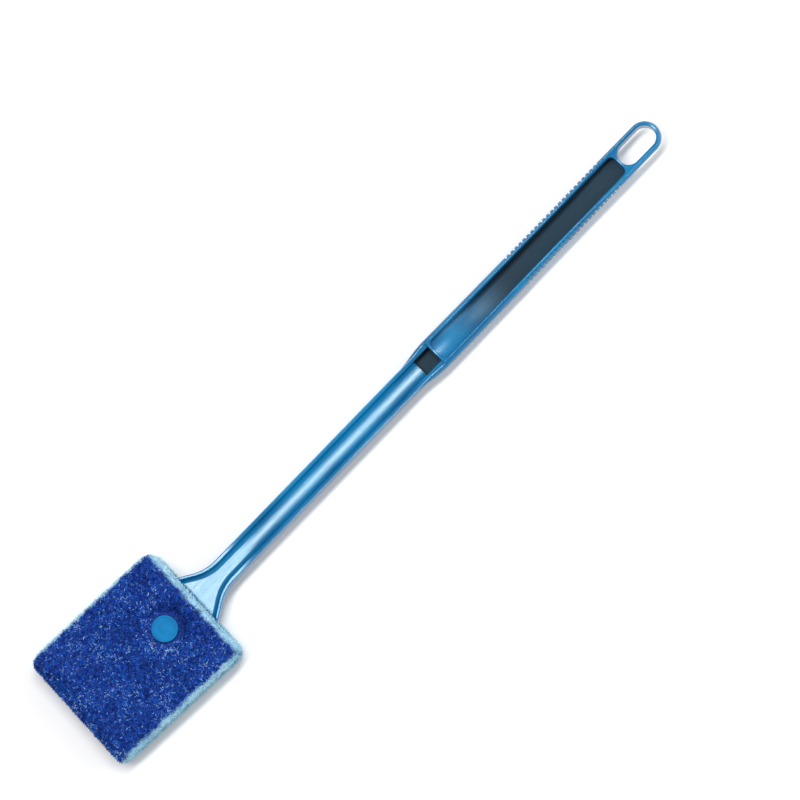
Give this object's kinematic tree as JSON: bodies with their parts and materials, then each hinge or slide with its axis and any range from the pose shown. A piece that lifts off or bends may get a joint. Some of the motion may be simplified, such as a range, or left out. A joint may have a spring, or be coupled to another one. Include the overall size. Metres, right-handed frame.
{
  "type": "algae scraper",
  "caption": "Long-handled aquarium scrubber: folded fuzzy pad snapped over a hidden head plate, channel shaft, hollow grip with grooved sides and a hang loop.",
  "frame": {"origin": "on the pad's rear face, the face that the tool lies on, under the handle's axis and 40.5 mm from the pad's free edge", "axes": "+X along the handle towards the hang loop, +Y across it, +Z out of the front, the side with the grip pocket and the button's seen disc"},
  "size_m": [0.3977, 0.0718, 0.0236],
  "materials": {
    "handle_plastic": "glossy injection-moulded blue plastic",
    "pad_fibre": "dense deep-blue fuzzy scrubbing foam",
    "button_plastic": "satin blue plastic"
  },
  "bodies": {
    "handle": {"handle": "handle_plastic"},
    "scrub_pad": {"scrub_pad": "pad_fibre"},
    "button_stud": {"button_stud": "button_plastic"},
    "button_cap": {"button_cap": "button_plastic"}
  },
  "joints": [
    {"name": "pad_swivel", "type": "hinge", "parent": "handle", "child": "scrub_pad", "pos_m": [0.02, 0, 0.0118], "axis": [0, 0, 1], "range_deg": [-1.5, 7.5]},
    {"name": "stud_pull", "type": "slide", "parent": "handle", "child": "button_stud", "axis": [0, 0, 1], "range_m": [0, 0.021]},
    {"name": "cap_pull", "type": "slide", "parent": "handle", "child": "button_cap", "axis": [0, 0, -1], "range_m": [0, 0.012]}
  ]
}
